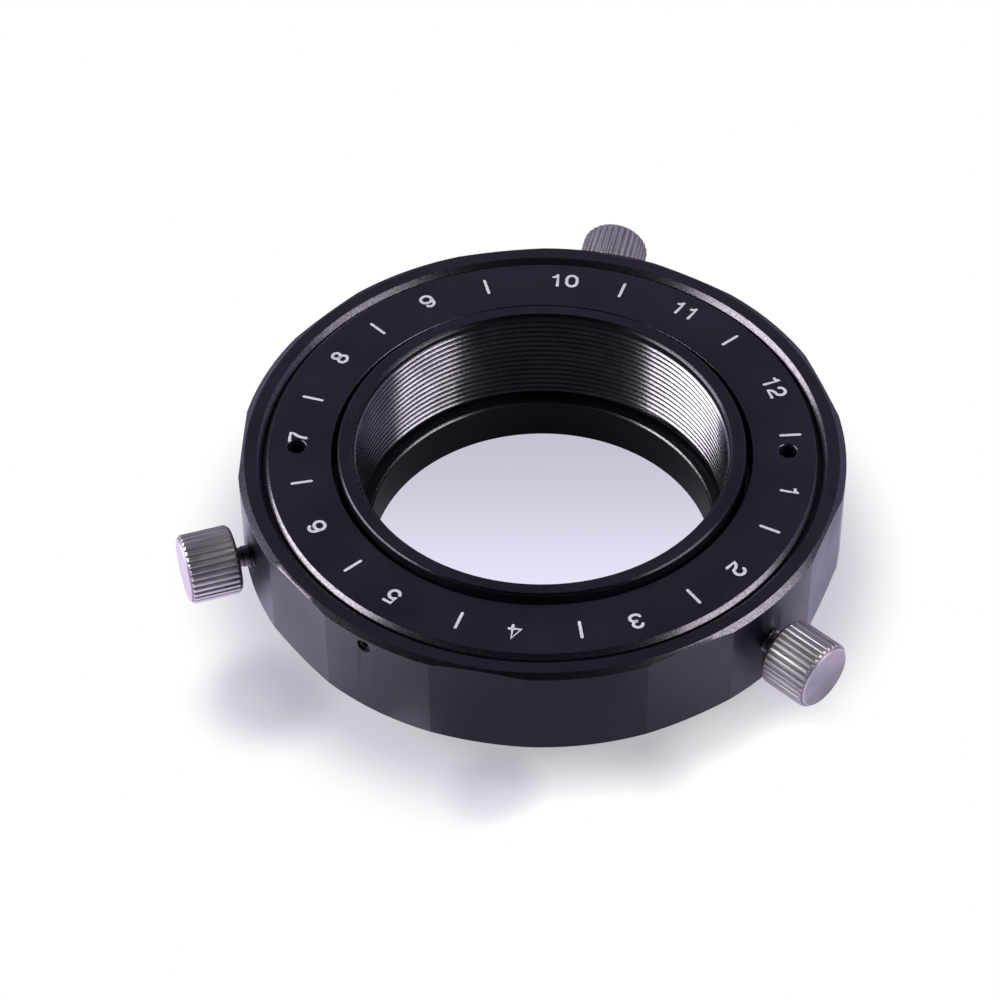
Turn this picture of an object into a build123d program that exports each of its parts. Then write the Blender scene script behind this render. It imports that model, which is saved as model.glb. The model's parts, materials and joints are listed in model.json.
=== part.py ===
"""Rotation mount for a camera on an M42 x 0.75 optical thread.

A threaded rotor turns inside a fixed body.  A dial ring screwed into the body keeps the rotor in,
and three knurled thumb screws clamp it by a groove in its rim.

Frame: Z is the optical axis, Z = 0 is the free end of the male thread, +Z points to the camera.
All lengths are in millimetres and all angles in degrees, counted from +X towards +Y.
"""

import os
from math import cos, pi, radians, sin

from build123d import *

# Standard thread on both sides: M42 x 0.75
thread_radius = 21.0
male_thread_depth = 0.45
male_thread_length = 3.2
thread_lead = 0.3

# Rings of the part from the thread outwards: each size is a wall or a gap
collar_wall = 1.85
groove_width = 0.65
dial_face_width = 7.6
dial_thread_step = 0.15
dial_seat_width = 2.84
body_rim_width = 2.7
boss_wall = 1.54
stub_wall = 0.92

# Body
body_height = 12.1
body_top_chamfer_width = 0.75
body_top_chamfer_drop = 0.4
body_mouth_chamfer = 0.55
body_bottom_chamfer = 0.8
flat_count = 9
flat_depth = 0.4
flat_phase = 17.0
boss_height = 1.9
floor_thickness = 1.95
aperture_chamfer = 0.22

# Rotor
collar_rise = 0.74
collar_chamfer = 0.22
mouth_chamfer = 0.35
clamp_groove_depth = 1.3
clamp_groove_floor_half_width = 0.2

# Dial ring, screwed into the mouth of the body
dial_rim_height = 1.0
dial_thickness = 3.2
dial_rim_chamfer = 0.5
dial_inner_chamfer = 0.15
spanner_hole_inset = 3.98
spanner_hole_radius = 1.03
spanner_hole_depth = 1.7
spanner_hole_chamfer = 0.12
spanner_hole_count = 2
spanner_phase = -2.0

# Slip washers
lower_washer_thickness = 0.45
upper_washer_thickness = 0.4
washer_edge_gap = 0.2
washer_inner_gap = 1.15

# Clearances
thread_clearance = 0.05
rotor_clearance = 0.06
slip_clearance = 0.03
swivel_clearance = 0.05
clamp_clearance = 0.07

# Thumb screws
screw_angles = (76.4, 196.9, 315.5)
screw_drop = 6.1
screw_thread_radius = 1.45
screw_pitch = 0.5
screw_turns_backed_off = 1.0
head_radius = 3.9
head_length = 5.95
head_chamfer = 0.45
head_standoff = 1.75
flute_count = 32
flute_depth = 0.24
flute_width = 0.36
shank_radius = 1.1
shank_depth_in_head = 4.0
neck_length = 0.8

# Clamp tips
tip_radius = 1.1
tip_collar_length = 0.6
tip_nose_radius = 0.25
tip_spigot_radius = 0.6
tip_spigot_length = 1.2

# Lock screw that keeps the dial ring from unscrewing
lock_angle = 235.0
lock_drop = 1.46
lock_radius = 0.8
lock_recess = 0.3
lock_end_gap = 0.03
lock_hole_clearance = 0.03
lock_socket_radius = 0.4
lock_socket_depth = 1.0

# Radii worked out from the sizes above
male_root_radius = thread_radius - male_thread_depth
aperture_radius = male_root_radius - stub_wall
collar_radius = thread_radius + collar_wall
dial_inner_radius = collar_radius + groove_width
dial_rim_radius = dial_inner_radius + dial_face_width
dial_thread_radius = dial_rim_radius + dial_thread_step
body_mouth_radius = dial_thread_radius + thread_clearance
body_radius = body_mouth_radius + body_rim_width
flat_distance = body_radius - flat_depth
cavity_radius = body_mouth_radius - dial_seat_width
rotor_radius = cavity_radius - rotor_clearance
boss_radius = cavity_radius + boss_wall
clamp_groove_radius = rotor_radius - clamp_groove_depth
clamp_groove_half_width = clamp_groove_floor_half_width + clamp_groove_depth
spanner_circle_radius = dial_inner_radius + spanner_hole_inset
screw_hole_radius = screw_thread_radius + thread_clearance

# Heights worked out from the sizes above
shoulder_z = male_thread_length
body_bottom_z = shoulder_z + boss_height
body_top_z = body_bottom_z + body_height
floor_z = shoulder_z + floor_thickness
dial_bottom_z = body_top_z - dial_thickness
dial_step_z = body_top_z - dial_rim_height
rotor_bottom_z = floor_z + lower_washer_thickness + slip_clearance
rotor_flange_z = dial_bottom_z - upper_washer_thickness - slip_clearance
collar_top_z = body_top_z + collar_rise
screw_z = body_top_z - screw_drop
lock_z = body_top_z - lock_drop

# Places along a thumb screw, measured out from the optical axis
nose_at_clamp = clamp_groove_radius + tip_nose_radius - clamp_groove_floor_half_width + clamp_clearance
nose_at_rest = nose_at_clamp + screw_turns_backed_off * screw_pitch
tip_cone_end = nose_at_rest + tip_radius - tip_nose_radius
tip_shoulder = tip_cone_end + tip_collar_length
stud_inner_end = tip_shoulder + swivel_clearance
head_inner_face = body_radius + head_standoff
head_outer_face = head_inner_face + head_length
shank_end = head_inner_face + shank_depth_in_head


def outwards(angle):
    """Unit vector that points straight out from the optical axis."""
    return Vector(cos(radians(angle)), sin(radians(angle)), 0)


def across_screw(angle, height, distance=0.0):
    """Plane square to a radial screw: its normal points out and its local X points up."""
    return Plane(origin=outwards(angle) * distance + Vector(0, 0, height), x_dir=(0, 0, 1), z_dir=outwards(angle))


def along_screw(angle, height):
    """Plane that holds a radial screw's axis: local X points up and local Y points out."""
    return Plane(origin=(0, 0, height), x_dir=(0, 0, 1), z_dir=Vector(0, 0, 1).cross(outwards(angle)))


def write(piece, name):
    """Label one finished piece and write it as a STEP file."""
    piece.part.label = name
    export_step(piece.part, f"parts/{name}.step")


os.makedirs("parts", exist_ok=True)


# Fixed body: a flatted ring with the male thread under its floor
with BuildPart() as outer_body:
    with BuildSketch(Plane.XZ):
        with BuildLine():
            Polyline(
                (aperture_radius, 0),
                (male_root_radius - thread_lead, 0),
                (male_root_radius, thread_lead),
                (male_root_radius, shoulder_z),
                (boss_radius, shoulder_z),
                (boss_radius, body_bottom_z),
                (body_radius - body_bottom_chamfer, body_bottom_z),
                (body_radius, body_bottom_z + body_bottom_chamfer),
                (body_radius, body_top_z - body_top_chamfer_drop),
                (body_radius - body_top_chamfer_width, body_top_z),
                (body_mouth_radius + body_mouth_chamfer, body_top_z),
                (body_mouth_radius, body_top_z - body_mouth_chamfer),
                (body_mouth_radius, dial_bottom_z),
                (cavity_radius, dial_bottom_z),
                (cavity_radius, floor_z),
                (aperture_radius + aperture_chamfer, floor_z),
                (aperture_radius, floor_z - aperture_chamfer),
                close=True,
            )
        make_face()
    revolve(axis=Axis.Z)
    with Locations((0, 0, body_bottom_z)):
        with PolarLocations(flat_distance, flat_count, start_angle=flat_phase):
            Box(
                body_rim_width,
                body_radius,
                body_height,
                align=(Align.MIN, Align.CENTER, Align.MIN),
                mode=Mode.SUBTRACT,
            )
    for angle in screw_angles:
        with BuildSketch(across_screw(angle, screw_z, clamp_groove_radius)):
            Circle(screw_hole_radius)
        extrude(amount=body_radius, mode=Mode.SUBTRACT)
    with BuildSketch(across_screw(lock_angle, lock_z, dial_inner_radius)):
        Circle(lock_radius + lock_hole_clearance)
    extrude(amount=body_radius, mode=Mode.SUBTRACT)
write(outer_body, "outer_body")


# Rotor: a collar with the female thread, on a flange whose rim carries the clamp groove
with BuildPart() as rotor:
    with BuildSketch(Plane.XZ):
        with BuildLine():
            Polyline(
                (thread_radius, rotor_bottom_z),
                (rotor_radius, rotor_bottom_z),
                (rotor_radius, screw_z - clamp_groove_half_width),
                (clamp_groove_radius, screw_z - clamp_groove_floor_half_width),
                (clamp_groove_radius, screw_z + clamp_groove_floor_half_width),
                (rotor_radius, screw_z + clamp_groove_half_width),
                (rotor_radius, rotor_flange_z),
                (collar_radius, rotor_flange_z),
                (collar_radius, collar_top_z - collar_chamfer),
                (collar_radius - collar_chamfer, collar_top_z),
                (thread_radius + mouth_chamfer, collar_top_z),
                (thread_radius, collar_top_z - mouth_chamfer),
                close=True,
            )
        make_face()
    revolve(axis=Axis.Z)
write(rotor, "rotor")


# Dial ring: screwed into the body by its two spanner holes
with BuildPart() as dial_ring:
    with BuildSketch(Plane.XZ):
        with BuildLine():
            Polyline(
                (dial_inner_radius, dial_bottom_z),
                (dial_thread_radius, dial_bottom_z),
                (dial_thread_radius, dial_step_z),
                (dial_rim_radius, dial_step_z),
                (dial_rim_radius, body_top_z - dial_rim_chamfer),
                (dial_rim_radius - dial_rim_chamfer, body_top_z),
                (dial_inner_radius + dial_inner_chamfer, body_top_z),
                (dial_inner_radius, body_top_z - dial_inner_chamfer),
                close=True,
            )
        make_face()
    revolve(axis=Axis.Z)
    with Locations(Plane.XY.offset(body_top_z)):
        with PolarLocations(spanner_circle_radius, spanner_hole_count, start_angle=spanner_phase):
            CounterSinkHole(
                spanner_hole_radius,
                spanner_hole_radius + spanner_hole_chamfer,
                spanner_hole_depth,
                counter_sink_angle=90,
            )
write(dial_ring, "dial_ring")


# Slip washers between the rotor and the parts that hold it
def slip_washer(bottom_z, thickness):
    """Plain flat ring under or over the rotor's flange."""
    with BuildPart() as washer:
        with BuildSketch(Plane.XY.offset(bottom_z)):
            Circle(rotor_radius - washer_edge_gap)
            Circle(collar_radius + washer_inner_gap, mode=Mode.SUBTRACT)
        extrude(amount=thickness)
    return washer


write(slip_washer(floor_z, lower_washer_thickness), "lower_slip_washer")
write(slip_washer(dial_bottom_z - upper_washer_thickness, upper_washer_thickness), "upper_slip_washer")


# Lock screw: a socket grub screw that bears on the dial ring's rim
with BuildPart() as dial_lock_screw:
    lock_inner_end = dial_thread_radius + lock_end_gap
    lock_outer_end = body_radius - lock_recess
    with BuildSketch(across_screw(lock_angle, lock_z, lock_inner_end)):
        Circle(lock_radius)
    extrude(amount=lock_outer_end - lock_inner_end)
    with BuildSketch(across_screw(lock_angle, lock_z, lock_outer_end)):
        RegularPolygon(lock_socket_radius, 6)
    extrude(amount=-lock_socket_depth, mode=Mode.SUBTRACT)
write(dial_lock_screw, "dial_lock_screw")


# Thumb screws: a fluted head pressed on a stud, with a tip that swivels in the stud's end
def turned_piece(angle, *profile):
    """Solid turned about a thumb screw's axis from (radius, distance from the optical axis) points."""
    with BuildPart() as piece:
        with BuildSketch(along_screw(angle, screw_z)):
            with BuildLine():
                Polyline(*profile, close=True)
            make_face()
        revolve(axis=Axis((0, 0, screw_z), outwards(angle)))
    return piece


def head_section(angle, distance, land_radius):
    """Section square to a knurled head's axis: flat lands with a V flute between each two."""
    valley_share = 1 - flute_depth / head_radius
    half_flute = flute_width / (2 * head_radius)
    corners = []
    for flute in range(flute_count):
        middle = 2 * pi * flute / flute_count
        for share, turn in ((1, middle - half_flute), (valley_share, middle), (1, middle + half_flute)):
            corners.append((share * land_radius * cos(turn), share * land_radius * sin(turn)))
    with BuildSketch(across_screw(angle, screw_z, distance)) as section:
        with BuildLine():
            Polyline(*corners, close=True)
        make_face()
    return section.sketch.face()


def knurled_head(angle):
    """Head with straight V flutes, chamfered ends and a blind bore for the stud."""
    end_radius = head_radius - head_chamfer
    sections = [
        head_section(angle, head_inner_face, end_radius),
        head_section(angle, head_inner_face + head_chamfer, head_radius),
        head_section(angle, head_outer_face - head_chamfer, head_radius),
        head_section(angle, head_outer_face, end_radius),
    ]
    with BuildPart() as head:
        loft(sections, ruled=True)
        with BuildSketch(across_screw(angle, screw_z, head_inner_face)):
            Circle(shank_radius)
        extrude(amount=shank_depth_in_head, mode=Mode.SUBTRACT)
    return head


def screw_stud(angle):
    """Threaded stud with a relieved neck, a shank for the head and a socket for the tip."""
    socket_radius = tip_spigot_radius + swivel_clearance
    socket_end = stud_inner_end + tip_spigot_length
    thread_end = head_inner_face - neck_length
    thread_chamfer = screw_thread_radius - shank_radius
    return turned_piece(
        angle,
        (socket_radius, stud_inner_end),
        (screw_thread_radius, stud_inner_end),
        (screw_thread_radius, thread_end - thread_chamfer),
        (shank_radius, thread_end),
        (shank_radius, shank_end),
        (0, shank_end),
        (0, socket_end),
        (socket_radius, socket_end),
    )


def clamp_tip(angle):
    """Cone that bears in the rotor's groove, on a collar and a spigot."""
    spigot_end = tip_shoulder + tip_spigot_length
    return turned_piece(
        angle,
        (0, nose_at_rest),
        (tip_nose_radius, nose_at_rest),
        (tip_radius, tip_cone_end),
        (tip_radius, tip_shoulder),
        (tip_spigot_radius, tip_shoulder),
        (tip_spigot_radius, spigot_end),
        (0, spigot_end),
    )


for number, angle in enumerate(screw_angles, start=1):
    write(knurled_head(angle), f"knurled_head_{number}")
    write(screw_stud(angle), f"screw_stud_{number}")
    write(clamp_tip(angle), f"clamp_tip_{number}")
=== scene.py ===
"""Dress the rotation mount: machined finishes, real threads, dial marks, knurled screws and a stage.

Lengths are metres in the mount's own frame: Z is the optical axis and +Z points to the camera side.
"""

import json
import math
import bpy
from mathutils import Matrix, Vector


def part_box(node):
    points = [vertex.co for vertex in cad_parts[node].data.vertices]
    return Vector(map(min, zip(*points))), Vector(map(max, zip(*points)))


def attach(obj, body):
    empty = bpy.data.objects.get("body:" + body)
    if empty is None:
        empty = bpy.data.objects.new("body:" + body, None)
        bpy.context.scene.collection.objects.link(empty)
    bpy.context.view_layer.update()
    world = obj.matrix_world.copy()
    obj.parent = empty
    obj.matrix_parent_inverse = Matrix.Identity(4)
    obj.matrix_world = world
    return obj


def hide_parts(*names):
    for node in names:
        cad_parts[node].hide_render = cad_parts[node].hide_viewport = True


bl_info = {
    "name": "Rotation Mount Dressing",
    "version": (1, 0, 0),
    "blender": (4, 5, 0),
    "location": "View3D > Sidebar > Mount",
    "description": "Threads, dial marks, knurled screws and finishes for a camera rotation mount",
    "category": "Object",
}

import bmesh
import bpy
from bpy.props import FloatProperty, FloatVectorProperty, IntProperty
from mathutils import Matrix, Vector

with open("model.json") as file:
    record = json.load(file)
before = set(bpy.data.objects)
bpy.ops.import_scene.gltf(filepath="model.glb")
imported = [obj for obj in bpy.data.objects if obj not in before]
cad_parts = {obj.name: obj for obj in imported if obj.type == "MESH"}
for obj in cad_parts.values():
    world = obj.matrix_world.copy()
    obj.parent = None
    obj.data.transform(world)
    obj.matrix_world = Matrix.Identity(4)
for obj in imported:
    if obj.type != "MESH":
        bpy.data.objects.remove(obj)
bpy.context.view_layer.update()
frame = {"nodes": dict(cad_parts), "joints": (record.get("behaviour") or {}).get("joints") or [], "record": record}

MM = 0.001
AXIS = Vector((0, 0, 1))
SCREWS = [name[-1] for name in frame["nodes"] if name.startswith("knurled_head")]
MOUNTS = {mount["name"]: mount for mount in frame["record"]["mounts"]}
JOINTS = {joint["name"]: joint for joint in frame["joints"]}

DIAL_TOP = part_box("dial_ring")[1].z
COLLAR_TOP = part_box("rotor")[1].z
ROTOR_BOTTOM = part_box("rotor")[0].z
SHOULDER = MOUNTS["telescope_shoulder"]["pos_m"][2]
FEMALE_ROOT = MOUNTS["female_thread"]["dims"]["r_mm"] * MM
MALE_ROOT = MOUNTS["male_thread"]["dims"]["r_mm"] * MM
SCREW_HEIGHT = JOINTS["thumb_screw_1_turn"]["pos_m"][2]

# Finishes
FLAT_SLOPE = (0.25, 0.97)
CUT_ROUGHNESS = 0.24
DUST_CELL = 1.6 * MM
DUST_EDGE = (0.012, 0.045)
DUST_CHANCE = 0.62
MIDTONES = (0.3, 0.7)

# Merging distances and how far a wound ridge goes into its root
MERGE_SCAN = 1e-3 * MM
MERGE_FINE = 1e-4 * MM
EMBED = 0.02 * MM
SCREW_EMBED = 0.01 * MM
LEAST_RIDGE = 0.03
SHOULDER_RISE = 0.86
SHOULDER_SIDE = 0.8
FLUTE_SPREAD = 1.45

# Studs: bore for the clamp tip, leads, bare neck and seat in the head, and the thread's section
TIP_BORE = 0.62 * MM
TIP_DEPTH = 1.0 * MM
STUD_LEAD = 0.2 * MM
NECK_LEAD = 0.1 * MM
BARE_NECK = 0.8 * MM
HEAD_SEAT = 0.3 * MM
THREAD_LEAD = 0.25 * MM
THREAD_ROOM = 0.3 * MM
SCREW_FOOT = 0.46 * MM
SCREW_CREST = 0.08 * MM

# Ranges over which the table's painted shade and light change: from the optical axis, along X and along Y
UNDER_BORE = (20 * MM, 26 * MM)
ROUND_BODY = (33 * MM, 43 * MM)
ASIDE = (12 * MM, 34 * MM)
LEFT_EDGE = (-40 * MM, -28 * MM)
BEHIND = (10 * MM, 30 * MM)
ACROSS_BORE = (-14 * MM, 20 * MM)

# Patches of the table: x, y and radius in mm, and the change of its glow in their middle. The mirrored patches
# paint dark patches by the two side knobs and a bright patch in front of the wall into the table as the mount
# reflects it; the shadow patches paint the contact shadow that the camera sees deeper or lighter.
MIRRORED_PATCHES = ((36, -25, 10, -0.9), (-38, -3, 8, -0.9), (-17, -32.5, 6, 2.0))
SHADOW_PATCHES = ((-31, -21, 10, -0.6), (-6, -35, 7, -0.4), (4, -41, 14, 0.7), (22, -32, 12, 0.7))

# Soft boxes: azimuth and elevation, and the turn about the line to the mount, in degrees
LEFT_BOX = ((175, 25), 25)
RIGHT_BOX = ((341, 30), -20)
TOP_BOX = ((2, 54), -20)


def length(name, value, description):
    """A size in metres, shown in millimetres where the scene's units say so."""
    return FloatProperty(name=name, default=value, description=description, unit="LENGTH", precision=5)


def angle(name, degrees, description):
    """An angle, stored in radians."""
    value = math.radians(degrees)
    return FloatProperty(name=name, default=value, description=description, unit="ROTATION")


def share(name, value, description):
    """A number from 0 to 1."""
    return FloatProperty(name=name, default=value, description=description, min=0, max=1, subtype="FACTOR")


def colour(name, value, description):
    """A linear colour."""
    return FloatVectorProperty(name=name, default=value, description=description, size=3, subtype="COLOR")


class MountThreads(bpy.types.PropertyGroup):
    """Sizes of the threads."""

    pitch: length("Pitch", 0.75 * MM, "Pitch of the optical thread on both sides")
    depth: length("Depth", 0.3 * MM, "Height of a crest over its root in the camera thread")
    male_depth: length("Male depth", 0.42 * MM, "Height of a crest over its root in the telescope thread")
    root_flat: length("Root flat", 0.06 * MM, "Bare width between two ridges")
    crest_flat: length("Crest flat", 0.16 * MM, "Width of a crest")
    run_out: angle("Run-out", 80, "Turn over which a thread fades at each end")
    turn_steps: IntProperty(name="Steps", default=180, description="Steps in one turn of a thread")
    mouth: length("Mouth", 0.12 * MM, "Bare height under the mouth of the bore")
    screw_pitch: length("Screw pitch", 0.5 * MM, "Pitch of a thumb screw")
    screw_radius: length("Screw radius", 1.45 * MM, "Outer radius of a thumb screw's thread")
    screw_depth: length("Screw depth", 0.27 * MM, "Depth of a thumb screw's thread")


class MountEdges(bpy.types.PropertyGroup):
    """How far the machined edges are broken."""

    ring: length("Ring edges", 0.06 * MM, "Width of the broken edges of the turned rings")
    sharpest: angle("Edge angle", 6, "Turn between two faces past which an edge is broken")
    steps: IntProperty(name="Steps", default=2, description="Faces across a broken edge")


class MountMarks(bpy.types.PropertyGroup):
    """Ticks and numerals of the dial."""

    radius: length("Radius", 27.53 * MM, "Middle of the ring of marks")
    numeral_radius: length("Numeral radius", 27.8 * MM, "Middle of the ring of numerals")
    centre_x: length("Centre X", 0.4 * MM, "How far the marks are off the optical axis along X")
    centre_y: length("Centre Y", 0.1 * MM, "How far the marks are off the optical axis along Y")
    numeral_turns: FloatVectorProperty(
        name="Numeral directions",
        size=12,
        default=(344.7, 317, 289.3, 262.1, 232.8, 204.9, 175.3, 147, 118.4, 84.2, 52.9, 19.3),
        description="Where the numerals 1 to 12 stand, in degrees from +X: the dial is divided by hand",
    )
    tick_turns: FloatVectorProperty(
        name="Tick directions",
        size=12,
        default=(331.7, 304.1, 276.7, 249.3, 219.7, 190.1, 162.1, 133.7, 103.3, 69.8, 38.2, 3),
        description="Where the ticks after the numerals 1 to 12 stand, in degrees from +X",
    )
    tick_length: length("Tick length", 2.5 * MM, "Length of a tick")
    tick_width: length("Tick width", 0.34 * MM, "Width of a tick")
    height: length("Numeral height", 2.2 * MM, "Height of a numeral")
    stroke: length("Stroke", 0.36 * MM, "Width of a numeral's stroke")
    spacing: length("Spacing", 1.75 * MM, "Distance between the two digits of a numeral")
    hole_turn: angle("Hole direction", 358, "Where a spanner hole stands; the marks keep off the holes")
    relief: length("Relief", 0.012 * MM, "How far the filled paint stands proud of the dial")


class MountKnobs(bpy.types.PropertyGroup):
    """Knurled heads of the thumb screws."""

    radius: length("Radius", 3.9 * MM, "Radius over the ridges")
    flutes: IntProperty(name="Flutes", default=32, description="Straight flutes round a head")
    flute_depth: length("Flute depth", 0.24 * MM, "Depth of a flute")
    flute_share: share("Flute share", 0.42, "Share of the pitch that a flute takes")
    points: IntProperty(name="Points", default=10, description="Points across one ridge and one flute")
    chamfer: length("Chamfer", 0.45 * MM, "Width of the chamfer at both ends")
    edge: length("Edge", 0.05 * MM, "Width of a broken edge")
    recess: length("Bore", 1.1 * MM, "Radius of the bore for the stud")


class MountColours(bpy.types.PropertyGroup):
    """Colours of the finishes."""

    body: colour("Body", (0.0085, 0.0070, 0.0150), "Black anodised body")
    dial: colour("Dial", (0.0085, 0.0070, 0.0150), "Black anodised dial")
    rotor: colour("Rotor", (0.0085, 0.0070, 0.0150), "Black anodised rotor")
    cut_edge: colour("Cut edge", (0.118, 0.110, 0.126), "Sheen of the diamond-cut chamfers")
    crest: colour("Thread", (0.190, 0.179, 0.201), "Sheen of the cut threads")
    marks: colour("Marks", (0.86, 0.85, 0.89), "White paint in the dial's marks")
    dust: colour("Dust", (0.30, 0.28, 0.31), "Specks of dust")
    steel: colour("Steel", (0.60, 0.555, 0.57), "Knurled stainless steel")
    # Colour that the flutes of the knurled heads darken towards at their bottoms
    grime: colour("Grime", (0.20, 0.17, 0.18), "Darkening in the bottom of the flutes")
    stud: colour("Stud", (0.16, 0.15, 0.155), "Turned steel of the studs")
    oxide: colour("Oxide", (0.035, 0.034, 0.038), "Black oxide steel")
    ptfe: colour("Washer", (0.02, 0.02, 0.021), "Filled PTFE")
    nylon: colour("Nylon", (0.74, 0.71, 0.63), "Natural nylon")
    floor: colour("Floor", (0.84, 0.79, 0.97), "Pale table")
    # Lavender tints painted into the table's glow as shade colour: in the mount's reflections and in the bore
    floor_glow: colour("Floor glow", (0.80, 0.74, 1.0), "Table round the mount")
    bore_glow: colour("Bore glow", (0.86, 0.83, 1.0), "Table seen through the bore")


class MountStage(bpy.types.PropertyGroup):
    """Camera and studio."""

    eye_distance: length("Distance", 376.4 * MM, "Camera to the middle of the dial along the view")
    elevation: angle("Elevation", 45.97, "Camera above the horizon")
    roll: angle("Roll", -0.86, "Turn of the camera about its view")
    aim_x: length("Aim X", 4.67 * MM, "Dial's middle right of the picture's middle")
    aim_y: length("Aim Y", 5.77 * MM, "Dial's middle above the picture's middle")
    lens: FloatProperty(name="Lens", default=121.2, description="Focal length for a 36 mm sensor")
    box_distance: length("Box distance", 0.5, "Soft boxes to the mount")
    left_width: length("Left width", 0.48, "Width of the left soft box")
    left_height: length("Left height", 0.2, "Height of the left soft box")
    right_width: length("Right width", 0.30, "Width of the right soft box")
    right_height: length("Right height", 0.16, "Height of the right soft box")
    top_width: length("Top width", 0.22, "Width of the raised soft box")
    top_height: length("Top height", 0.14, "Height of the raised soft box")
    left_glow: FloatProperty(name="Left glow", default=7.4, description="Brightness of the left soft box")
    right_glow: FloatProperty(name="Right glow", default=4.6, description="Brightness of the right soft box")
    ceiling: colour("Ceiling", (0.19, 0.17, 0.26), "Dim studio above the horizon")


def settings():
    """The scene's groups of sizes and colours."""
    return bpy.context.scene.mount_dressing


class MountDressing(bpy.types.PropertyGroup):
    """Everything that a user would change."""

    threads: bpy.props.PointerProperty(type=MountThreads)
    edges: bpy.props.PointerProperty(type=MountEdges)
    marks: bpy.props.PointerProperty(type=MountMarks)
    knobs: bpy.props.PointerProperty(type=MountKnobs)
    colours: bpy.props.PointerProperty(type=MountColours)
    stage: bpy.props.PointerProperty(type=MountStage)


# Shader maths


class Value:
    """A node socket that takes part in arithmetic."""

    def __init__(self, finish, socket):
        self.finish = finish
        self.socket = socket

    def _with(self, operation, first, second):
        return self.finish.node("ShaderNodeMath", {"operation": operation}, {0: first, 1: second})

    def __add__(self, other):
        return self._with("ADD", self, other)

    def __sub__(self, other):
        return self._with("SUBTRACT", self, other)

    def __rsub__(self, other):
        return self._with("SUBTRACT", other, self)

    def __mul__(self, other):
        return self._with("MULTIPLY", self, other)

    def __pow__(self, other):
        return self._with("POWER", self, other)

    def __gt__(self, other):
        return self._with("GREATER_THAN", self, other)

    __radd__ = __add__
    __rmul__ = __mul__


class Finish:
    """One material: its nodes are made by node(), and its numbers are worked out as expressions."""

    def __init__(self, tree):
        self.tree = tree
        tree.nodes.clear()

    def node(self, kind, options=None, inputs=None, output=0):
        """Add a node with its options set first, then its sockets set or linked."""
        made = self.tree.nodes.new(kind)
        for option, value in (options or {}).items():
            setattr(made, option, value)
        for name, value in (inputs or {}).items():
            if isinstance(value, Value):
                self.tree.links.new(value.socket, made.inputs[name])
            else:
                made.inputs[name].default_value = value
        return Value(self, made.outputs[output]) if made.outputs else None

    def place(self):
        """Position on the piece, in metres of the mount's frame."""
        return self.node("ShaderNodeTexCoord", output="Object")

    def noise(self, where, size, detail=2.0, distortion=0.0):
        """Grey noise whose features are about size metres across."""
        inputs = {"Vector": where, "Scale": 1 / size, "Detail": detail, "Distortion": distortion}
        return self.node("ShaderNodeTexNoise", None, inputs, output="Fac")

    def ramp(self, value, start, end, low=0.0, high=1.0):
        """Smooth step of value from start to end, mapped to low and high."""
        inputs = {"Value": value, "From Min": start, "From Max": end, "To Min": low, "To Max": high}
        return self.node("ShaderNodeMapRange", {"interpolation_type": "SMOOTHSTEP"}, inputs)

    def patch(self, x, y, across, along, radius, change):
        """Soft round patch of a plane: change in its middle, 0 outside its radius; lengths in mm."""
        gap_x = x - across * MM
        gap_y = y - along * MM
        gap = (gap_x * gap_x + gap_y * gap_y) ** 0.5
        return self.ramp(gap, 0.3 * radius * MM, radius * MM, change, 0)

    def split(self, vector):
        """The three coordinates of a vector."""
        parts = self.node("ShaderNodeSeparateXYZ", None, {"Vector": vector})
        return [Value(self, output) for output in parts.socket.node.outputs]

    def mix(self, factor, first, second):
        """Blend of two colours."""
        inputs = {"Factor": factor, 6: first, 7: second}
        return self.node("ShaderNodeMix", {"data_type": "RGBA"}, inputs, output=2)

    def bump(self, height, depth, strength=1.0, under=None):
        """Normal for a height from 0 to 1 that stands for depth metres."""
        inputs = {"Height": height, "Distance": depth, "Strength": strength}
        if under is not None:
            inputs["Normal"] = under
        return self.node("ShaderNodeBump", None, inputs)

    def surface(self, **sockets):
        """Close the material with a Principled BSDF."""
        inputs = {name.replace("_", " ").title(): value for name, value in sockets.items()}
        inputs = {"IOR" if name == "Ior" else name: value for name, value in inputs.items()}
        shader = self.node("ShaderNodeBsdfPrincipled", None, inputs)
        self.node("ShaderNodeOutputMaterial", None, {"Surface": shader})


def rgba(value):
    """A colour property as four numbers."""
    return (*value, 1.0)


def material(name):
    """New empty material and its finish."""
    made = bpy.data.materials.new(name)
    made.use_nodes = True
    return made, Finish(made.node_tree)


def shades(finish, base, grey, lighter=1.35, darker=0.75):
    """Darker to lighter versions of a colour where a noise goes through its midtones."""
    dark = tuple(channel * darker for channel in base)
    light = tuple(channel * lighter for channel in base)
    return finish.mix(finish.ramp(grey, *MIDTONES), rgba(dark), rgba(light))


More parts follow.
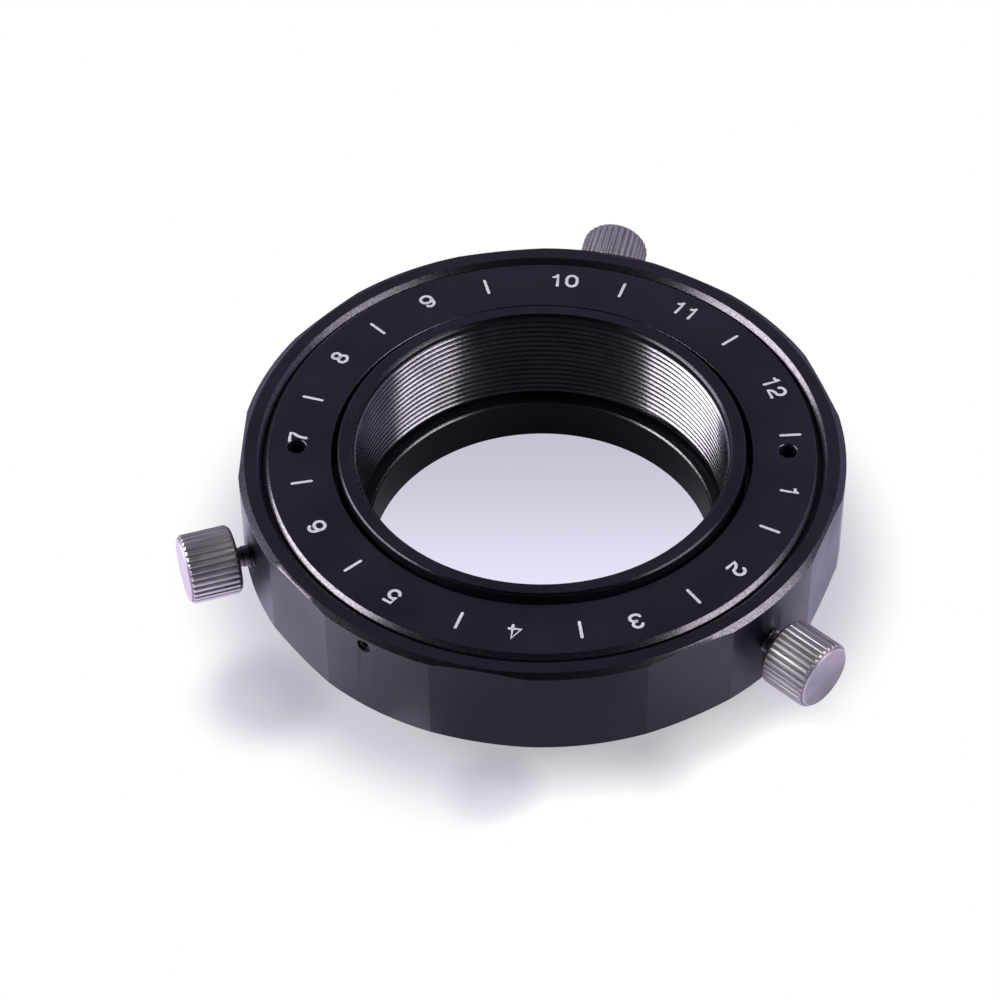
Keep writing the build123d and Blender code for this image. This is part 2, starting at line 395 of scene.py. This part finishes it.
def anodised(name, base, rough=0.36, turning=0.4, sheen=1.0):
    """Black anodised aluminium: blasted grain, turning marks, dust and diamond-cut chamfers."""
    made, finish = material(name)
    place = finish.place()
    x, y, z = finish.split(place)
    radius = (x * x + y * y) ** 0.5
    ring = finish.node("ShaderNodeCombineXYZ", None, {"X": radius, "Y": z})
    cloud = finish.noise(place, 9 * MM, 3)
    grain = finish.noise(place, 0.09 * MM, 2)
    tool = finish.noise(ring, 0.12 * MM, 1)
    colours = settings().colours
    tint = shades(finish, base, cloud * 0.7 + grain * 0.3)
    cells = {"Vector": place, "Scale": 1 / DUST_CELL}
    cell = finish.node("ShaderNodeTexVoronoi", None, cells, output="Distance")
    chance = finish.noise(place, 3.1 * MM, 0)
    speck = (1 - finish.ramp(cell, *DUST_EDGE)) * (chance > DUST_CHANCE)
    tint = finish.mix(speck * 0.5, tint, rgba(colours.dust))
    cut = finish.node("ShaderNodeAttribute", {"attribute_name": "bright_cut"}, output="Fac")
    chatter = finish.noise(place, 0.25 * MM, 2)
    bright = shades(finish, colours.cut_edge, chatter, 1.25 * sheen, 0.7 * sheen)
    tint = finish.mix(cut, tint, bright)
    gloss = rough + finish.ramp(cloud, *MIDTONES, -0.04, 0.05) + (grain - 0.5) * 0.08
    gloss = gloss * (1 - cut) + cut * CUT_ROUGHNESS
    relief = finish.bump(grain, 0.004 * MM, 0.5)
    relief = finish.bump(chatter * cut, 0.004 * MM, 0.5, relief)
    relief = finish.bump(tool, 0.0025 * MM, turning, relief)
    finish.surface(base_color=tint, metallic=cut, roughness=gloss, ior=1.5, normal=relief)
    return made


def cut_thread(name, base):
    """Anodised thread: a metal sheen on every face, with fine chatter along the turns."""
    made, finish = material(name)
    place = finish.place()
    cloud = finish.noise(place, 5 * MM, 3)
    chatter = finish.noise(place, 0.3 * MM, 3)
    tint = shades(finish, base, cloud * 0.5 + chatter * 0.5, 1.25, 0.65)
    relief = finish.bump(chatter, 0.004 * MM, 0.5)
    finish.surface(base_color=tint, metallic=1.0, roughness=0.15 + cloud * 0.06, normal=relief)
    return made


def knurled_steel(name, number):
    """Satin stainless head: ridges in plain steel, flutes darker towards their bottoms, lathe rings on the end
    face.
    """
    options = settings()
    made, finish = material(name)
    out = outwards(number)
    turn = (0, 0, math.atan2(out.y, out.x))
    here = finish.node(
        "ShaderNodeMapping",
        {"vector_type": "TEXTURE"},
        {"Vector": finish.place(), "Location": (0, 0, SCREW_HEIGHT), "Rotation": turn},
    )
    x, y, z = finish.split(here)
    radius = (y * y + z * z) ** 0.5
    valley = options.knobs.radius - options.knobs.flute_depth
    low = finish.ramp(radius, valley - 0.02 * MM, valley + 0.16 * MM, 1, 0)
    barrel = radius > valley - 0.1 * MM
    cloud = finish.noise(here, 1.6 * MM, 3)
    drawn = finish.node("ShaderNodeVectorMath", {"operation": "MULTIPLY"}, {0: here, 1: (0.12, 1, 1)})
    streak = finish.noise(drawn, 0.12 * MM, 2)
    rings = finish.noise(finish.node("ShaderNodeCombineXYZ", None, {"X": radius}), 0.1 * MM, 2)
    steel = shades(finish, options.colours.steel, cloud * 0.5 + streak * 0.5, 1.1, 0.88)
    # Flutes darker towards their bottoms
    tint = finish.mix(low * barrel * 0.75, steel, rgba(options.colours.grime))
    gloss = 0.36 + cloud * 0.12 + low * barrel * 0.1
    height = streak * barrel + rings * (1 - barrel)
    relief = finish.bump(height, 0.006 * MM, 0.5)
    finish.surface(base_color=tint, metallic=1.0, roughness=gloss, normal=relief)
    return made


def plain_finish(name, base, rough, metallic=0.0, grain_size=0.15 * MM):
    """Fine-grained finish for the small parts."""
    made, finish = material(name)
    place = finish.place()
    grain = finish.noise(place, grain_size, 3)
    cloud = finish.noise(place, 2.5 * MM, 2)
    tint = shades(finish, base, grain * 0.5 + cloud * 0.5, 1.15, 0.85)
    gloss = rough + (cloud - 0.5) * 0.15
    relief = finish.bump(grain, 0.004 * MM, 0.6)
    finish.surface(base_color=tint, metallic=metallic, roughness=gloss, normal=relief)
    return made


# Modelling


def outwards(number):
    """Unit vector along a thumb screw, away from the optical axis."""
    return -Vector(JOINTS[f"thumb_screw_{number}_turn"]["axis"]).normalized()


def screw_matrix(number):
    """Places a piece modelled along +Z from the origin on a thumb screw's axis."""
    turn = AXIS.rotation_difference(outwards(number)).to_matrix().to_4x4()
    return Matrix.Translation((0, 0, SCREW_HEIGHT)) @ turn


def along_screw(node, number):
    """Nearest and farthest reach of a node along its thumb screw, from the optical axis."""
    out = outwards(number)
    reach = [vertex.co.dot(out) for vertex in frame["nodes"][node].data.vertices]
    return min(reach), max(reach)


def finished(bm, name, body, dress, instead_of=()):
    """Turn a bmesh into a smooth-shaded piece that rides on a body."""
    mesh = bpy.data.meshes.new(name)
    bm.to_mesh(mesh)
    bm.free()
    piece = bpy.data.objects.new(name, mesh)
    bpy.context.scene.collection.objects.link(piece)
    mesh.materials.append(dress)
    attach(piece, body)
    if instead_of:
        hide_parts(*instead_of)
    return piece


def smooth(bm, past):
    """Shade smooth, with edges past an angle left sharp."""
    for face in bm.faces:
        face.smooth = True
    for edge in bm.edges:
        edge.smooth = edge.calc_face_angle(0.0) < past


def weighted(piece):
    """Let the large faces decide the shading, so that broken edges catch the light."""
    weigh = piece.modifiers.new("face_weights", "WEIGHTED_NORMAL")
    weigh.keep_sharp = True


def mark_chamfers(bm):
    """Store 1 on the faces that slope, such as chamfers and broken edges, and 0 on the others."""
    cut = bm.loops.layers.float.new("bright_cut")
    lowest, highest = FLAT_SLOPE
    for face in bm.faces:
        slope = abs(face.normal.z)
        for loop in face.loops:
            loop[cut] = float(lowest < slope < highest)


def break_edges(bm, past, width, steps=2):
    """Bevel the edges that turn past an angle."""
    corners = [edge for edge in bm.edges if edge.calc_face_angle(0.0) > past]
    bmesh.ops.bevel(
        bm,
        geom=corners,
        offset=width,
        affect="EDGES",
        segments=steps,
        profile=0.5,
        material=-1,
        clamp_overlap=True,
    )


def dress_ring(node, name, body, dress):
    """Copy a turned ring, join its triangles and break its edges."""
    edges = settings().edges
    bm = bmesh.new()
    bm.from_mesh(frame["nodes"][node].data)
    bmesh.ops.remove_doubles(bm, verts=bm.verts, dist=MERGE_SCAN)
    bmesh.ops.dissolve_limit(
        bm, angle_limit=math.radians(0.2), verts=bm.verts, edges=bm.edges, use_dissolve_boundaries=False
    )
    break_edges(bm, edges.sharpest, edges.ring, edges.steps)
    mark_chamfers(bm)
    smooth(bm, math.radians(40))
    weighted(finished(bm, name, body, dress, instead_of=(node,)))


def turned(bm, outline, steps=128):
    """Lathe an outline of (radius, height) points about +Z; it starts and ends on the axis."""
    verts = [bm.verts.new((radius, 0, height)) for radius, height in outline]
    edges = [bm.edges.new(pair) for pair in zip(verts, verts[1:])]
    bmesh.ops.spin(
        bm,
        geom=verts + edges,
        cent=(0, 0, 0),
        axis=AXIS,
        dvec=(0, 0, 0),
        angle=math.tau,
        steps=steps,
        use_merge=True,
    )
    bmesh.ops.remove_doubles(bm, verts=bm.verts, dist=MERGE_FINE)


def ridge(bm, profile, base, start, turns, pitch, steps, run_out):
    """Wind a thread's ridge of (radius, height) points up a helix, fading into its base at both ends."""
    wound = bmesh.new()
    loop = [wound.verts.new((radius, 0, start + height)) for radius, height in profile]
    edges = [wound.edges.new(pair) for pair in zip(loop, loop[1:] + loop[:1])]
    bmesh.ops.spin(
        wound,
        geom=loop + edges,
        cent=(0, 0, 0),
        axis=AXIS,
        dvec=(0, 0, pitch / steps),
        angle=math.tau,
        steps=steps,
    )
    one_turn = list(wound.verts) + list(wound.edges) + list(wound.faces)
    for turn in range(1, turns):
        copied = bmesh.ops.duplicate(wound, geom=one_turn)["geom"]
        verts = [item for item in copied if isinstance(item, bmesh.types.BMVert)]
        bmesh.ops.translate(wound, vec=(0, 0, pitch * turn), verts=verts)
    bmesh.ops.remove_doubles(wound, verts=wound.verts, dist=MERGE_FINE)
    bmesh.ops.edgeloop_fill(wound, edges=[edge for edge in wound.edges if edge.is_boundary])
    fade_turns = run_out / math.tau
    for vert in wound.verts:
        part = math.atan2(vert.co.y, vert.co.x) / math.tau % 1.0
        along = part + round((vert.co.z - start) / pitch - part)
        fade = max(LEAST_RIDGE, min(1.0, along / fade_turns, (turns - along) / fade_turns))
        radius = vert.co.xy.length
        vert.co.xy *= (base + (radius - base) * fade) / radius
    mesh = bpy.data.meshes.new("wound")
    wound.to_mesh(mesh)
    wound.free()
    bm.from_mesh(mesh)
    bpy.data.meshes.remove(mesh)


def thread_profile(base, tip, foot, crest):
    """Section of a worn ridge: two flanks with a crest that is rounded into them."""
    side = (foot - crest) / 2
    rise = tip - base
    shoulder = (base + rise * SHOULDER_RISE, foot / 2 - side * SHOULDER_SIDE)
    upper = [(tip, crest / 4), shoulder, (base, foot / 2)]
    return [(radius, -height) for radius, height in reversed(upper)] + upper


def optical_thread(base, tip, start, turns):
    """Ridge of an optical thread from its base radius to its tip radius."""
    sizes = settings().threads
    section = thread_profile(base, tip, sizes.pitch - sizes.root_flat, sizes.crest_flat)
    bm = bmesh.new()
    ridge(bm, section, base, start, turns, sizes.pitch, sizes.turn_steps, sizes.run_out)
    bmesh.ops.recalc_face_normals(bm, faces=bm.faces)
    smooth(bm, math.radians(75))
    return bm


class MOUNT_OT_rings(bpy.types.Operator):
    """Dress the body, the dial ring and the rotor: broken edges and black anodising"""

    bl_idname = "mount.rings"
    bl_label = "Body, dial and rotor"

    def execute(self, context):
        colours = settings().colours
        body = anodised("body_anodising", colours.body, rough=0.36)
        dial = anodised("dial_anodising", colours.dial, rough=0.38, turning=0.3)
        rotor = anodised("rotor_anodising", colours.rotor, rough=0.32, sheen=0.35)
        dress_ring("outer_body", "flatted_body", "fixed_body", body)
        dress_ring("dial_ring", "dial", "fixed_body", dial)
        dress_ring("rotor", "threaded_rotor", "rotor", rotor)
        return {"FINISHED"}


class MOUNT_OT_threads(bpy.types.Operator):
    """Cut the camera thread in the bore and the telescope thread on the stub"""

    bl_idname = "mount.threads"
    bl_label = "Optical threads"

    def execute(self, context):
        sizes = settings().threads
        dress = cut_thread("cut_thread", settings().colours.crest)
        foot = sizes.pitch - sizes.root_flat
        start = ROTOR_BOTTOM + foot / 2
        turns = int((COLLAR_TOP - sizes.mouth - start) / sizes.pitch)
        bm = optical_thread(FEMALE_ROOT + EMBED, FEMALE_ROOT - sizes.depth, start, turns)
        finished(bm, "camera_thread", "rotor", dress)

        turns = int((SHOULDER - foot - foot / 2) / sizes.pitch)
        bm = optical_thread(MALE_ROOT - EMBED, MALE_ROOT + sizes.male_depth, foot, turns)
        finished(bm, "telescope_thread", "fixed_body", dress)
        return {"FINISHED"}


# Numerals: strokes on a unit grid, one unit high between the middles of the strokes


def arc(x, y, across, up, start, end, points=14):
    """Points on an ellipse round (x, y) between two angles in degrees."""
    spread = [math.radians(start + (end - start) * step / (points - 1)) for step in range(points)]
    return [(x + across * math.cos(turn), y + up * math.sin(turn)) for turn in spread]


def digit_strokes(digit):
    """The engraved strokes of one digit."""
    if digit == "0":
        return [arc(0, 0.12, 0.33, 0.38, 0, 180) + arc(0, -0.12, 0.33, 0.38, 180, 360) + [(0.33, 0.12)]]
    if digit == "1":
        return [arc(-0.22, 0.56, 0.26, 0.27, 270, 345, 6) + [(0.05, 0.5), (0.05, -0.5)]]
    if digit == "2":
        neck = arc(0.2, -0.52, 0.52, 0.42, 90, 172, 6)
        return [arc(0, 0.19, 0.32, 0.31, 172, -25) + neck + [(-0.33, -0.5), (0.33, -0.5)]]
    if digit == "3":
        return [arc(0, 0.25, 0.28, 0.25, 165, -90), arc(0, -0.24, 0.32, 0.26, 90, -168)]
    if digit == "4":
        return [[(0.34, -0.24), (-0.36, -0.24), (0.14, 0.5), (0.14, -0.5)]]
    if digit == "5":
        return [[(0.28, 0.5), (-0.2, 0.5), (-0.27, 0.0)] + arc(0.0, -0.17, 0.32, 0.33, 135, -160)]
    if digit == "6":
        return [arc(0, 0.16, 0.3, 0.34, 40, 175) + arc(0.04, -0.18, 0.35, 0.32, 175, 535, 26)]
    if digit == "7":
        return [[(-0.33, 0.5), (0.33, 0.5)] + arc(0.62, -0.6, 0.68, 1.0, 118, 174, 8)]
    if digit == "8":
        return [arc(0, 0.26, 0.26, 0.24, 270, -90, 24), arc(0, -0.24, 0.32, 0.26, 90, -270, 24)]
    return [arc(0, -0.16, 0.3, 0.34, 220, 355) + arc(-0.04, 0.18, 0.35, 0.32, -5, 355, 26)]


def engraved(curve, points, half_width):
    """Add one stroke to a curve: its points in metres, with round ends as a ball cutter leaves them."""
    path = [Vector(point) for point in points]
    head = (path[0] - path[1]).normalized()
    tail = (path[-1] - path[-2]).normalized()
    turns = [math.radians(degrees) for degrees in (88, 70, 50, 25)]
    rows = [(path[0] + head * half_width * math.sin(turn), math.cos(turn)) for turn in turns]
    rows += [(point, 1.0) for point in path]
    rows += [(path[-1] + tail * half_width * math.sin(turn), math.cos(turn)) for turn in reversed(turns)]
    spline = curve.splines.new("POLY")
    spline.points.add(len(rows) - 1)
    for spot, (place, thickness) in zip(spline.points, rows):
        spot.co = (place.x, place.y, 0, 1)
        spot.radius = thickness


def direction(degrees):
    """Unit vector in the dial's plane."""
    turn = math.radians(degrees)
    return Vector((math.cos(turn), math.sin(turn)))


def clear_of_holes(stroke, half_width):
    """The parts of a stroke that stay on the dial where it runs over a spanner hole."""
    holes = MOUNTS["spanner_holes"]["dims"]
    turn = settings().marks.hole_turn
    centre = Vector((math.cos(turn), math.sin(turn))) * holes["pcd_mm"] / 2 * MM
    reach = holes["hole_r_mm"] * MM + half_width * 0.9
    parts = [[]]
    for start, end in zip(stroke, stroke[1:]):
        for step in range(6):
            point = start.lerp(end, step / 6)
            if min((point - centre).length, (point + centre).length) > reach:
                parts[-1].append(point)
            elif parts[-1]:
                parts.append([])
    parts[-1].append(stroke[-1])
    cut = len(parts) > 1
    return [part for part in parts if len(part) > 1] if cut else [stroke]


def painted(name, strokes, half_width, dress):
    """Make one mark from strokes that lie flat on the dial."""
    sizes = settings().marks
    curve = bpy.data.curves.new(name, "CURVE")
    curve.dimensions = "3D"
    curve.bevel_depth = half_width
    curve.bevel_resolution = 3
    curve.use_fill_caps = True
    for stroke in strokes:
        for part in clear_of_holes(stroke, half_width):
            engraved(curve, part, half_width)
    holder = bpy.data.objects.new(name + "_path", curve)
    bpy.context.scene.collection.objects.link(holder)
    bpy.context.view_layer.update()
    mesh = bpy.data.meshes.new_from_object(holder.evaluated_get(bpy.context.evaluated_depsgraph_get()))
    bpy.data.objects.remove(holder)
    bm = bmesh.new()
    bm.from_mesh(mesh)
    bpy.data.meshes.remove(mesh)
    bmesh.ops.remove_doubles(bm, verts=bm.verts, dist=MERGE_FINE)
    flat = Matrix.Diagonal((1, 1, sizes.relief / half_width, 1))
    bmesh.ops.transform(bm, matrix=Matrix.Translation((0, 0, DIAL_TOP)) @ flat, verts=bm.verts)
    bmesh.ops.recalc_face_normals(bm, faces=bm.faces)
    smooth(bm, math.radians(60))
    finished(bm, name, "fixed_body", dress)


class MOUNT_OT_marks(bpy.types.Operator):
    """Engrave the ticks and the numerals round the dial and fill them white"""

    bl_idname = "mount.marks"
    bl_label = "Dial marks"

    def execute(self, context):
        sizes = settings().marks
        dress = plain_finish("mark_paint", settings().colours.marks, 0.55, grain_size=0.2 * MM)
        centre = Vector((sizes.centre_x, sizes.centre_y))
        digit_height = sizes.height - sizes.stroke
        for hour in range(1, len(sizes.numeral_turns) + 1):
            out = direction(sizes.tick_turns[hour - 1])
            reach = (sizes.tick_length - sizes.tick_width) / 2
            ends = [centre + out * (sizes.radius - reach), centre + out * (sizes.radius + reach)]
            painted(f"tick_{hour}", [ends], sizes.tick_width / 2, dress)

            out = direction(sizes.numeral_turns[hour - 1])
            side = Vector((out.y, -out.x))
            digits = str(hour)
            strokes = []
            for spot, digit in enumerate(digits):
                shift = (spot - (len(digits) - 1) / 2) * sizes.spacing
                for stroke in digit_strokes(digit):
                    placed = []
                    for x, y in stroke:
                        up = out * (sizes.numeral_radius + y * digit_height)
                        placed.append(centre + up + side * (shift + x * digit_height))
                    strokes.append(placed)
            painted(f"numeral_{hour}", strokes, sizes.stroke / 2, dress)
        return {"FINISHED"}


# Thumb screws


def knurl_radius(turn):
    """Radius of a knurled head in a direction: round ridges with milled flutes between them."""
    sizes = settings().knobs
    part = abs(math.modf(turn / math.tau * sizes.flutes)[0])
    from_ridge = 1 - abs(2 * part - 1)
    start = 1 - sizes.flute_share * FLUTE_SPREAD
    depth = min(1.0, max(0.0, (from_ridge - start) / (1 - start)))
    return sizes.radius - sizes.flute_depth * math.sin(depth * math.pi / 2) ** 2


def knurled_head(bm, inner, outer):
    """Fluted barrel between two heights, with a chamfer at each end that the flutes run out through."""
    sizes = settings().knobs
    around = sizes.flutes * sizes.points
    end_radius = sizes.radius - sizes.chamfer
    made = bmesh.ops.create_circle(bm, cap_ends=False, segments=around, radius=end_radius)
    ring = list({edge for vert in made["verts"] for edge in vert.link_edges})
    for vert in made["verts"]:
        vert.co.z = inner
    bmesh.ops.contextual_create(bm, geom=ring)
    levels = [(inner, 1, True), (outer, -1, True), (outer, 0, False)]
    for height, rise, fluted in levels:
        grown = bmesh.ops.extrude_edge_only(bm, edges=ring)["geom"]
        ring = [item for item in grown if isinstance(item, bmesh.types.BMEdge)]
        for vert in [item for item in grown if isinstance(item, bmesh.types.BMVert)]:
            radius = vert.co.xy.length
            reach = knurl_radius(math.atan2(vert.co.y, vert.co.x)) if fluted else end_radius
            vert.co.xy *= reach / radius
            vert.co.z = height + rise * (reach - end_radius)
    bmesh.ops.contextual_create(bm, geom=ring)
    bmesh.ops.recalc_face_normals(bm, faces=bm.faces)
    break_edges(bm, math.radians(32), sizes.edge)


def threaded_stud(bm, tip, head):
    """Stud from its tip, bored for a clamp tip, to its seat in the head."""
    sizes = settings()
    threads = sizes.threads
    core = threads.screw_radius - threads.screw_depth
    neck = sizes.knobs.recess
    thread_end = head - BARE_NECK
    outline = [
        (0, tip + TIP_DEPTH),
        (TIP_BORE, tip + TIP_DEPTH),
        (TIP_BORE, tip),
        (core - STUD_LEAD, tip),
        (core, tip + STUD_LEAD),
        (core, thread_end),
        (neck, thread_end + NECK_LEAD),
        (neck, head + HEAD_SEAT),
        (0, head + HEAD_SEAT),
    ]
    turned(bm, outline, 64)
    base = core - SCREW_EMBED
    section = thread_profile(base, threads.screw_radius, SCREW_FOOT, SCREW_CREST)
    turns = int((thread_end - tip - THREAD_ROOM) / threads.screw_pitch)
    ridge(bm, section, base, tip + THREAD_LEAD, turns, threads.screw_pitch, 64, math.radians(150))
    bmesh.ops.recalc_face_normals(bm, faces=bm.faces)


class MOUNT_OT_thumb_screws(bpy.types.Operator):
    """Model the knurled heads and the threaded studs of the three thumb screws"""

    bl_idname = "mount.thumb_screws"
    bl_label = "Thumb screws"

    def execute(self, context):
        sizes = settings()
        dress = plain_finish("stud_steel", sizes.colours.stud, 0.34, metallic=1.0, grain_size=0.3 * MM)
        for number in SCREWS:
            place = screw_matrix(number)
            head = f"knurled_head_{number}"
            stud = f"screw_stud_{number}"
            body = f"thumb_screw_{number}"
            inner, outer = along_screw(head, number)
            bm = bmesh.new()
            knurled_head(bm, inner, outer)
            bmesh.ops.transform(bm, matrix=place, verts=bm.verts)
            smooth(bm, math.radians(40))
            steel = knurled_steel(f"knurled_steel_{number}", number)
            weighted(finished(bm, f"knurl_{number}", body, steel, instead_of=(head,)))

            tip = along_screw(stud, number)[0]
            bm = bmesh.new()
            threaded_stud(bm, tip, inner)
            bmesh.ops.transform(bm, matrix=place, verts=bm.verts)
            smooth(bm, math.radians(35))
            finished(bm, f"stud_{number}", body, dress, instead_of=(stud,))
        return {"FINISHED"}


class MOUNT_OT_small_parts(bpy.types.Operator):
    """Finish the lock screw, the slip washers and the clamp tips"""

    bl_idname = "mount.small_parts"
    bl_label = "Small parts"

    def execute(self, context):
        colours = settings().colours
        oxide = plain_finish("black_oxide", colours.oxide, 0.42, metallic=1.0)
        ptfe = plain_finish("ptfe_sheet", colours.ptfe, 0.55)
        nylon = plain_finish("natural_nylon", colours.nylon, 0.5)
        for name, node in frame["nodes"].items():
            dress = None
            if name == "dial_lock_screw":
                dress = oxide
            elif name.endswith("slip_washer"):
                dress = ptfe
            elif name.startswith("clamp_tip"):
                dress = nylon
            if dress:
                node.data.materials.clear()
                node.data.materials.append(dress)
        return {"FINISHED"}


# Stage


def aimed(place, target, roll=0.0):
    """Matrix that looks from a place to a target, turned about the view."""
    back = (place - target).normalized()
    right = AXIS.cross(back).normalized()
    up = back.cross(right)
    turned_right = right * math.cos(roll) + up * math.sin(roll)
    turned_up = up * math.cos(roll) - right * math.sin(roll)
    rotation = Matrix((turned_right, turned_up, back)).transposed().to_4x4()
    return Matrix.Translation(place) @ rotation


def soft_box(name, direction, tilt, size, glow):
    """Glowing panel that faces the mount; direction is (azimuth, elevation) and tilt a turn, in degrees."""
    azimuth, elevation = (math.radians(value) for value in direction)
    level = math.cos(elevation)
    towards = Vector((math.cos(azimuth) * level, math.sin(azimuth) * level, math.sin(elevation)))
    light = bpy.data.lights.new(name, "AREA")
    light.shape = "RECTANGLE"
    light.size, light.size_y = size
    light.energy = glow * math.pi * light.size * light.size_y
    holder = bpy.data.objects.new(name, light)
    bpy.context.scene.collection.objects.link(holder)
    holder.matrix_world = aimed(towards * settings().stage.box_distance, Vector(), math.radians(tilt))


def rays(finish):
    """1 on camera rays, and 1 on rays that a mirror or glass sends on."""
    camera_ray = finish.node("ShaderNodeLightPath", output="Is Camera Ray")
    glossy_ray = finish.node("ShaderNodeLightPath", output="Is Glossy Ray")
    clear_ray = finish.node("ShaderNodeLightPath", output="Is Transmission Ray")
    return camera_ray, glossy_ray + clear_ray


def table_top():
    """Pale table that keeps the mount's shadow and is dimmer in the mount's own sheen, with painted shade and
    light in its glow round the mount: a deeper or lighter contact shadow, a brighter bore floor shaded towards the
    back, lavender shade colour, and light and dark patches in the reflections.
    """
    colours = settings().colours
    made, finish = material("table_top")
    x, y, z = finish.split(finish.place())
    away = (x * x + y * y) ** 0.5
    inside = finish.ramp(away, *UNDER_BORE, 1, 0)
    aside = finish.ramp((x * x) ** 0.5, *ASIDE)
    camera_ray, mirror_ray = rays(finish)
    # Camera's share of the glow: painted light brightens the bore floor, and near the body a smaller share lets
    # the contact shadow show
    seen = inside * 0.6 + finish.ramp(away, *ROUND_BODY, 0.4, 1.0)
    # Glow in the mount's reflections: painted brighter to the sides and at the far left, darker behind
    mirrored = (1 - inside) * 0.32 + 0.12 + aside * 0.75 + finish.ramp(x, *LEFT_EDGE, 0.3, 0)
    mirrored = mirrored * finish.ramp(y, *BEHIND, 1, 0.1)
    # Painted shadow by the side knobs and a painted bright patch, seen only in the reflections
    for across, along, radius, change in MIRRORED_PATCHES:
        mirrored = mirrored * (1 + finish.patch(x, y, across, along, radius, change))
    # Painted contact shadow: deeper or lighter in the shadow patches
    for across, along, radius, change in SHADOW_PATCHES:
        seen = seen * (1 + finish.patch(x, y, across, along, radius, change))
    # Painted shade: the table seen through the bore darker towards the back
    dimmed = 1 - inside * finish.ramp(y, *ACROSS_BORE, 0, 0.35)
    # Lavender shade colour painted into the glow, in the reflections and in the bore; white for the camera
    # elsewhere
    lavender = finish.mix(inside, rgba(colours.floor_glow), rgba(colours.bore_glow))
    tint = finish.mix(camera_ray * (1 - inside), lavender, (1, 1, 1, 1))
    strength = camera_ray * dimmed + mirror_ray * mirrored
    matt = finish.node("ShaderNodeBsdfDiffuse", None, {"Color": rgba(colours.floor)})
    glow = finish.node("ShaderNodeEmission", None, {"Color": tint, "Strength": strength})
    blend = {"Fac": camera_ray * seen + mirror_ray, 1: matt, 2: glow}
    both = finish.node("ShaderNodeMixShader", None, blend)
    finish.node("ShaderNodeOutputMaterial", None, {"Surface": both})
    return made


def studio(ceiling):
    """World: white for the camera and low in reflections, dim above, with two brighter bands."""
    world = bpy.data.worlds.new("studio")
    world.use_nodes = True
    finish = Finish(world.node_tree)
    x, y, z = finish.split(finish.node("ShaderNodeTexCoord", output="Generated"))
    horizon = finish.ramp(z, 0.55, 0.8, 2.0, 0.3) * finish.ramp(y, -0.5, 0.3, 0.2, 1.0)
    corners = finish.ramp(x * y, -0.45, -0.25, 1.5, 0) * finish.ramp(z, 0.15, 0.35, 1, 0) * (y > 0)
    glow = {"Color": rgba(ceiling), "Strength": horizon + corners}
    dim = finish.node("ShaderNodeBackground", None, glow)
    white = finish.node("ShaderNodeBackground", None, {"Color": (1, 0.99, 1, 1), "Strength": 1.0})
    camera_ray, mirror_ray = rays(finish)
    blend = camera_ray + mirror_ray * finish.ramp(z, 0.0, 0.08, 0.5, 0)
    both = finish.node("ShaderNodeMixShader", None, {"Fac": blend, 1: dim, 2: white})
    finish.node("ShaderNodeOutputWorld", None, {"Surface": both})
    return world


class MOUNT_OT_stage(bpy.types.Operator):
    """Set the pale table, the soft boxes, the dim studio and the camera"""

    bl_idname = "mount.stage"
    bl_label = "Stage and camera"

    def execute(self, context):
        sizes = settings().stage
        scene = context.scene
        scene.view_settings.view_transform = "Standard"

        bm = bmesh.new()
        bmesh.ops.create_grid(bm, x_segments=1, y_segments=1, size=1.5)
        mesh = bpy.data.meshes.new("table")
        bm.to_mesh(mesh)
        bm.free()
        table = bpy.data.objects.new("table", mesh)
        scene.collection.objects.link(table)
        mesh.materials.append(table_top())

        scene.world = studio(sizes.ceiling)
        soft_box("left_box", *LEFT_BOX, (sizes.left_width, sizes.left_height), sizes.left_glow)
        soft_box("right_box", *RIGHT_BOX, (sizes.right_width, sizes.right_height), sizes.right_glow)
        soft_box("top_box", *TOP_BOX, (sizes.top_width, sizes.top_height), sizes.right_glow)

        camera = bpy.data.cameras.new("camera")
        camera.sensor_width = 36
        camera.lens = sizes.lens
        camera.clip_start = 0.01
        holder = bpy.data.objects.new("camera", camera)
        scene.collection.objects.link(holder)
        view = Vector((0, -math.cos(sizes.elevation), math.sin(sizes.elevation)))
        holder.matrix_world = aimed(view, Vector(), sizes.roll)
        turn = holder.matrix_world.to_3x3()
        eye = view * sizes.eye_distance - turn.col[0] * sizes.aim_x - turn.col[1] * sizes.aim_y
        holder.matrix_world = Matrix.Translation(eye + AXIS * DIAL_TOP) @ turn.to_4x4()
        scene.camera = holder
        return {"FINISHED"}


class MOUNT_PT_panel(bpy.types.Panel):
    """Steps that dress the mount"""

    bl_label = "Rotation mount"
    bl_idname = "MOUNT_PT_panel"
    bl_space_type = "VIEW_3D"
    bl_region_type = "UI"
    bl_category = "Mount"

    def draw(self, context):
        for step in STEPS:
            self.layout.operator(step.bl_idname)


STEPS = (
    MOUNT_OT_rings,
    MOUNT_OT_threads,
    MOUNT_OT_marks,
    MOUNT_OT_thumb_screws,
    MOUNT_OT_small_parts,
    MOUNT_OT_stage,
)
CLASSES = (
    MountThreads,
    MountEdges,
    MountMarks,
    MountKnobs,
    MountColours,
    MountStage,
    MountDressing,
    *STEPS,
    MOUNT_PT_panel,
)


def register():
    """Register the classes and give the scene its sizes."""
    for cls in CLASSES:
        bpy.utils.register_class(cls)
    bpy.types.Scene.mount_dressing = bpy.props.PointerProperty(type=MountDressing)


def unregister():
    """Take the classes away again."""
    del bpy.types.Scene.mount_dressing
    for cls in reversed(CLASSES):
        bpy.utils.unregister_class(cls)


def main():
    """Dress the mount, step by step."""
    register()
    bpy.ops.mount.rings()
    bpy.ops.mount.threads()
    bpy.ops.mount.marks()
    bpy.ops.mount.thumb_screws()
    bpy.ops.mount.small_parts()
    bpy.ops.mount.stage()


if __name__ == "__main__":
    main()
